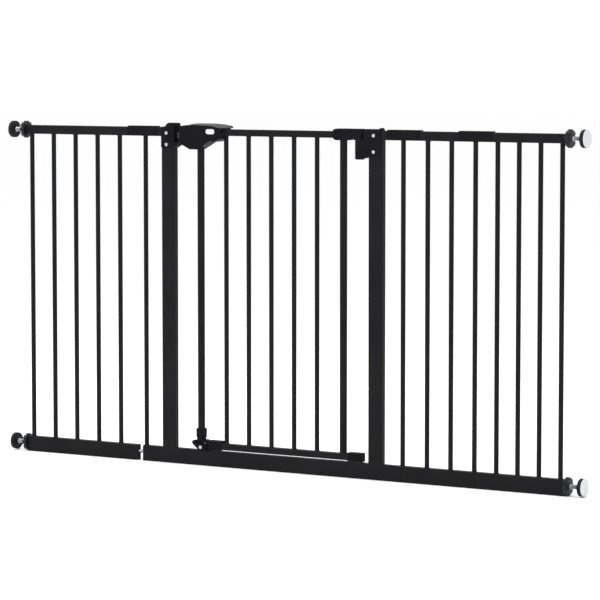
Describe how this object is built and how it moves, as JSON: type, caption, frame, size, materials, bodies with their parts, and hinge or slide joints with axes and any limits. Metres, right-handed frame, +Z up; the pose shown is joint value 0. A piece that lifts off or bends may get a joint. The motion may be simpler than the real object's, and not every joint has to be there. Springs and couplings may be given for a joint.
{
  "type": "pressure-fit safety gate",
  "caption": "Pressure-fit metal safety gate: walk-through door with lift-and-slide latch, side extensions joined by pins and sleeves, and spindles with hand nuts and wall pads.",
  "frame": {"origin": "floor level, middle of the door opening, middle of the tube depth", "axes": "+X to the right along the gate seen from the front, +Z up, front face towards -Y"},
  "size_m": [1.466, 0.0392, 0.76],
  "materials": {
    "black_coat": "satin",
    "black_plastic": "matte",
    "dark_plastic": "satin",
    "zinc_steel": "satin",
    "screw_steel": "satin",
    "white_plastic": "gloss",
    "pad_black": "matte",
    "pad_grip": "matte"
  },
  "bodies": {
    "frame": {"far_ext_bars": "black_coat", "far_ext_bottom_rail": "black_coat", "far_ext_top_rail": "black_coat", "far_top_sleeve": "black_plastic", "frame_screws": "screw_steel", "hinge_bracket": "black_plastic", "joint_pins": "zinc_steel", "joint_plugs": "black_plastic", "latch_catch": "black_plastic", "left_ext_bars": "black_coat", "left_ext_bottom_rail": "black_coat", "left_ext_top_rail": "black_coat", "left_post": "black_coat", "left_top_sleeve": "black_plastic", "left_top_stub": "black_coat", "lower_catch": "black_plastic", "lower_hinge_bush": "dark_plastic", "main_bottom_rail": "black_coat", "main_outer_bars": "black_coat", "near_ext_bars": "black_coat", "near_ext_bottom_rail": "black_coat", "near_ext_top_rail": "black_coat", "near_top_sleeve": "black_plastic", "right_post": "black_coat", "right_top_stub": "black_coat", "spindle_plugs": "black_plastic"},
    "hinge_pins": {"upper_hinge_pin": "zinc_steel", "lower_hinge_pin": "zinc_steel"},
    "door": {"latch_stile": "black_coat", "hinge_stile": "black_coat", "door_top_rail": "black_coat", "door_bottom_rail": "black_coat", "door_bars": "black_coat", "upper_hinge_cap": "black_plastic", "lower_hinge_block": "black_plastic", "stile_shoe": "black_plastic", "lower_corner_block": "black_plastic", "housing_front": "black_plastic", "housing_rear": "black_plastic", "housing_screws": "screw_steel"},
    "latch_slide": {"thumb_slide": "dark_plastic", "latch_bolt": "dark_plastic"},
    "lock_button": {"lock_button": "white_plastic"},
    "nut_left_upper": {"left_upper_nut": "black_plastic"},
    "spindle_left_upper": {"left_upper_rod": "zinc_steel", "left_upper_pad": "pad_black", "left_upper_pad_face": "pad_grip"},
    "nut_left_lower": {"left_lower_nut": "black_plastic"},
    "spindle_left_lower": {"left_lower_rod": "zinc_steel", "left_lower_pad": "pad_black", "left_lower_pad_face": "pad_grip"},
    "nut_right_upper": {"right_upper_nut": "black_plastic"},
    "spindle_right_upper": {"right_upper_rod": "zinc_steel", "right_upper_pad": "pad_black", "right_upper_pad_face": "pad_grip"},
    "nut_right_lower": {"right_lower_nut": "black_plastic"},
    "spindle_right_lower": {"right_lower_rod": "zinc_steel", "right_lower_pad": "pad_black", "right_lower_pad_face": "pad_grip"}
  },
  "joints": [
    {"name": "left_upper_nut_turn", "type": "hinge", "parent": "frame", "child": "nut_left_upper", "pos_m": [-0.6615, 0, 0.74], "axis": [1, 0, 0], "range_deg": [-4680, 2400]},
    {"name": "left_upper_spindle_travel", "type": "slide", "parent": "frame", "child": "spindle_left_upper", "axis": [-1, 0, 0], "range_m": [-0.0195, 0.01]},
    {"name": "left_lower_nut_turn", "type": "hinge", "parent": "frame", "child": "nut_left_lower", "pos_m": [-0.6615, 0, 0.0205], "axis": [1, 0, 0], "range_deg": [-4680, 2400]},
    {"name": "left_lower_spindle_travel", "type": "slide", "parent": "frame", "child": "spindle_left_lower", "axis": [-1, 0, 0], "range_m": [-0.0195, 0.01]},
    {"name": "right_upper_nut_turn", "type": "hinge", "parent": "frame", "child": "nut_right_upper", "pos_m": [0.7245, 0, 0.74], "axis": [-1, 0, 0], "range_deg": [-4680, 2400]},
    {"name": "right_upper_spindle_travel", "type": "slide", "parent": "frame", "child": "spindle_right_upper", "axis": [1, 0, 0], "range_m": [-0.0195, 0.01]},
    {"name": "right_lower_nut_turn", "type": "hinge", "parent": "frame", "child": "nut_right_lower", "pos_m": [0.7245, 0, 0.0205], "axis": [-1, 0, 0], "range_deg": [-4680, 2400]},
    {"name": "right_lower_spindle_travel", "type": "slide", "parent": "frame", "child": "spindle_right_lower", "axis": [1, 0, 0], "range_m": [-0.0195, 0.01]},
    {"name": "door_lift", "type": "slide", "parent": "frame", "child": "hinge_pins", "axis": [0, 0, 1], "range_m": [0, 0.008]},
    {"name": "door_swing", "type": "hinge", "parent": "hinge_pins", "child": "door", "pos_m": [0.224, 0, 0.04], "axis": [0, 0, 1], "range_deg": [-90, 90]},
    {"name": "latch_slide_pull", "type": "slide", "parent": "door", "child": "latch_slide", "axis": [1, 0, 0], "range_m": [0, 0.008], "stiffness_N_per_m": 250, "springref_m": -0.006},
    {"name": "lock_button_press", "type": "slide", "parent": "door", "child": "lock_button", "axis": [0, 1, 0], "range_m": [0, 0.0025], "stiffness_N_per_m": 400, "springref_m": -0.002}
  ],
  "couplings": [
    {"joint": "left_upper_nut_turn", "follows": "left_upper_spindle_travel", "rad_per_m": 4188.8},
    {"joint": "left_lower_nut_turn", "follows": "left_lower_spindle_travel", "rad_per_m": 4188.8},
    {"joint": "right_upper_nut_turn", "follows": "right_upper_spindle_travel", "rad_per_m": 4188.8},
    {"joint": "right_lower_nut_turn", "follows": "right_lower_spindle_travel", "rad_per_m": 4188.8}
  ]
}
